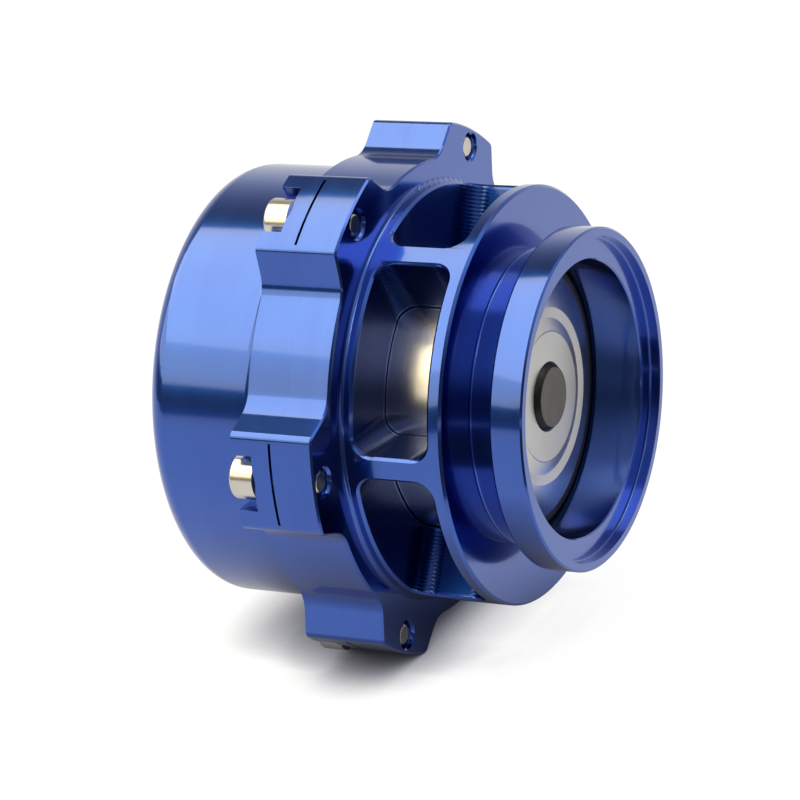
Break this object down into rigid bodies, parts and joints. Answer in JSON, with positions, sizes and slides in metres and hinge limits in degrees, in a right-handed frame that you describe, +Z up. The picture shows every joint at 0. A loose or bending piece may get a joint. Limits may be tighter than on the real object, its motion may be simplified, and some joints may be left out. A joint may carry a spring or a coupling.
{
  "type": "blow-off valve",
  "caption": "Turbo blow-off valve: vee-band inlet flange, round cage with vent windows, sliding cup valve on a sprung diaphragm, and a lobed flange that holds a cup-shaped cap.",
  "frame": {"origin": "centre of the inlet flange's front face, on the valve's axis", "axes": "-Y points out of the inlet along the valve's axis, +Y runs to the cap, and +Z is up as the valve lies on two of its lobes"},
  "size_m": [0.1036, 0.091, 0.096],
  "materials": {
    "blue_anodised": "blue anodised, polished machined surfaces",
    "turned_aluminium": "bare, fine turned",
    "black_steel": "black oxide",
    "stainless_steel": "bright stainless",
    "zinc_steel": "zinc plated",
    "spring_steel": "drawn wire and strip",
    "brass": "machined",
    "diaphragm_rubber": "fabric reinforced, matt",
    "seal_rubber": "moulded, matt",
    "guide_ptfe": "bronze-filled guide strip",
    "seal_ptfe": "smooth",
    "nylon": "smooth"
  },
  "bodies": {
    "housing": {"valve_body": "blue_anodised", "front_guide_ring": "guide_ptfe", "piston_seal_ring": "seal_ptfe", "seal_energiser": "seal_rubber", "rear_guide_ring": "guide_ptfe", "snap_ring": "spring_steel", "diaphragm": "diaphragm_rubber", "outer_spring": "spring_steel", "inner_spring": "spring_steel", "spring_seat": "zinc_steel", "diaphragm_cap": "blue_anodised", "cap_screws": "stainless_steel", "hose_fitting": "brass"},
    "valve": {"valve_piston": "turned_aluminium", "seat_o_ring": "seal_rubber", "spring_cup": "turned_aluminium", "valve_bolt": "black_steel", "bolt_seal": "seal_rubber", "bolt_washer": "zinc_steel", "lock_nut": "zinc_steel", "nut_locking_ring": "nylon"}
  },
  "joints": [
    {"name": "valve_slide", "type": "slide", "parent": "housing", "child": "valve", "axis": [0, 1, 0], "range_m": [0, 0.012], "stiffness_N_per_m": 4000, "springref_m": -0.02, "deforming": ["outer_spring", "inner_spring", "diaphragm"]}
  ]
}
